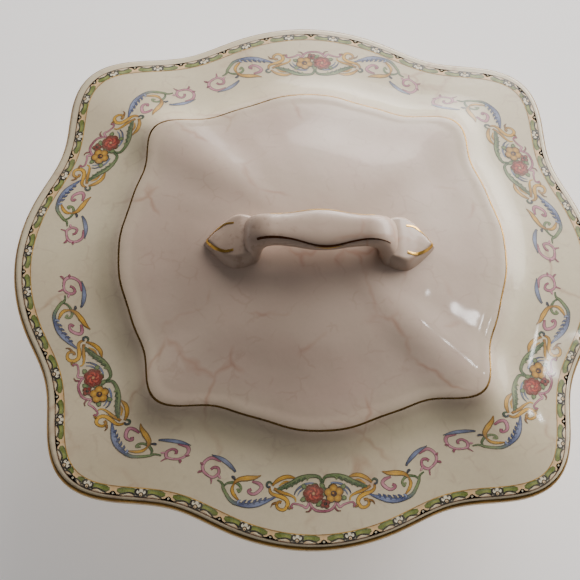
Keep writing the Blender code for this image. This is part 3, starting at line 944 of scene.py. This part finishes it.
def add_foot_line(name, side, material):
    """V of gilding on a foot, round its tip."""
    corners = ((27.0, 4.7), (29.4, 4.9), (31.4, 3.9), (33.4, 2.4), (35.1, 0.4), (35.3, -0.2), (35.0, -0.8),
               (33.2, -2.7), (31.2, -4.2), (29.3, -5.0), (27.0, -4.9))
    path = smooth_path([(HANDLE_DRIFT + side * x, y) for x, y in corners], 0.25)
    x, y = path[:, 0], path[:, 1]
    points = np.stack([x, y, foot_height(x, y)], axis=1)
    normals = normals_of(foot_height, x, y, 0.2)
    share = np.linspace(0, 1, len(path))
    width = np.interp(share, (0, 0.15, 0.45, 0.6, 0.85, 1), (0.3, 0.34, 0.42, 0.56, 0.5, 0.44))
    add_ribbon(name, points, normals, width, material)


def add_handle_gilding(material, wear_and_shade):
    """Gilt lines of the bar and feet, the front one given a dark gold as painted shade."""
    front = ((-18.7, 2.27), (-9.0, 2.36), (2.0, 2.72), (13.4, 2.40), (19.6, 2.27))
    back = ((-16.0, 0.52), (2.0, 0.44), (16.5, 0.50))
    touch = ((-2.5, 2.80), (2.0, 2.93), (7.5, 2.80))
    # The front line's dark gold is painted shade, standing for the dark surroundings it reflects.
    add_bar_line("bar_gold_front", front, -18.7, 19.6, (0.42, 0.4, 0.3, 0.28, 0.34, 0.3, 0.3, 0.26, 0.14),
                 wear_and_shade)
    add_bar_line("bar_gold_back", back, -16.0, 16.5, (0.10, 0.2, 0.28, 0.2, 0.12), material)
    add_bar_line("bar_gold_touch", touch, -2.5, 7.5, (0.04, 0.14, 0.16, 0.04), material)
    add_foot_line("left_foot_gold", -1, material)
    add_foot_line("right_foot_gold", 1, material)


# ------------ stage, light, camera

def add_floor():
    mesh = bpy.data.meshes.new("floor")
    half = 8.0
    mesh.from_pydata([(-half, -half, 0), (half, -half, 0), (half, half, 0), (-half, half, 0)], [],
                     [(0, 1, 2, 3)])
    floor = bpy.data.objects.new("floor", mesh)
    bpy.context.scene.collection.objects.link(floor)
    n = Nodes("floor_paper")
    tone = n.mix(n.ramp(n.noise(3.0, 2.0).outputs["Fac"], 0.35, 0.65), linear(240, 237, 236),
                 linear(234, 230, 229))
    n.link(tone, n.shader.inputs["Base Color"])
    n.shader.inputs["Roughness"].default_value = 0.6
    # The floor glows a little, as painted light that lifts the shadows on it.
    n.shader.inputs["Emission Color"].default_value = (*linear(255, 252, 250), 1.0)
    n.shader.inputs["Emission Strength"].default_value = 0.34
    mesh.materials.append(n.material)


def add_area_light(name, azimuth, elevation, distance, size, power, colour):
    """Rectangular lamp that faces the dish from a direction round it."""
    light = bpy.data.lights.new(name, "AREA")
    light.shape = "RECTANGLE"
    light.size, light.size_y = size
    light.energy = power
    light.color = colour
    lamp = bpy.data.objects.new(name, light)
    bpy.context.scene.collection.objects.link(lamp)
    a, e = radians(azimuth), radians(elevation)
    away = Vector((cos(a) * cos(e), sin(a) * cos(e), sin(e)))
    lamp.location = away * distance
    lamp.rotation_mode = "QUATERNION"
    lamp.rotation_quaternion = away.to_track_quat("Z", "Y")


def add_world():
    world = bpy.data.worlds.new("soft_room")
    bpy.context.scene.world = world
    world.use_nodes = True
    background = world.node_tree.nodes["Background"]
    background.inputs["Color"].default_value = (0.80, 0.79, 0.80, 1.0)
    background.inputs["Strength"].default_value = 0.19


# The camera was fitted to the photograph by least squares.
CAMERA_TARGET = (18.99, -13.76, 40.0)
CAMERA_DISTANCE = 500.4
CAMERA_AZIMUTH = 8.817   # degrees to the left of straight in front
CAMERA_ELEVATION = 61.735
CAMERA_ROLL = 8.256
CAMERA_LENS = 97.22
CAMERA_SHIFT = (-0.138, 0.0276)   # small, though the photo looks cut from a wider view


def add_camera():
    a, e = radians(CAMERA_AZIMUTH), radians(CAMERA_ELEVATION)
    back = Vector((-sin(a) * cos(e), -cos(a) * cos(e), sin(e)))
    camera = bpy.data.cameras.new("camera")
    camera.lens = CAMERA_LENS
    camera.shift_x, camera.shift_y = CAMERA_SHIFT
    camera.clip_start = 0.01
    view = bpy.data.objects.new("camera", camera)
    bpy.context.scene.collection.objects.link(view)
    turn = back.to_track_quat("Z", "Y").to_matrix().to_4x4()
    place = Matrix.Translation((Vector(CAMERA_TARGET) + back * CAMERA_DISTANCE) * MM)
    view.matrix_world = place @ turn @ Matrix.Rotation(radians(CAMERA_ROLL), 4, "Z")
    bpy.context.scene.camera = view


add_camera()
add_world()
add_floor()
add_area_light("window", azimuth=57, elevation=22, distance=1.7, size=(2.2, 0.9), power=88,
               colour=(1.0, 0.985, 0.96))
add_area_light("skylight", azimuth=34, elevation=55, distance=1.7, size=(0.03, 0.045), power=0.7,
               colour=(1.0, 1.0, 1.0))
add_lid(glaze("lid_ivory", stain_and_shade_above=(RIM_Z + 6.5, RIM_Z + 11.0)))
# The handle's glaze is darker and pinker like the roof's: partly stain, partly painted shade.
handle_material = glaze("handle_ivory", (186, 162, 144), 0.7, spotted_to=(-10.0, 4.0))
add_handle(handle_material)
add_foot("left_foot", -1, handle_material)
add_foot("right_foot", 1, handle_material)
add_dish(glaze("dish_ivory"))
# The rim and shoulder gold is darker than the handle's: partly its wear, partly painted shade.
add_lid_gilding(gilding("lid_gold", (140, 108, 58)))
# The front bar line's gold is made dark as painted shade of the surroundings it reflects.
add_handle_gilding(gilding("handle_gold", (206, 160, 76)), gilding("front_gold_painted_dark", (96, 56, 34), 0.8))
add_dish_gilding(gilding("dish_gold", (150, 116, 62)))
add_decoration()
add_drainer(glaze("drainer_ivory", (214, 206, 186), 0.8))
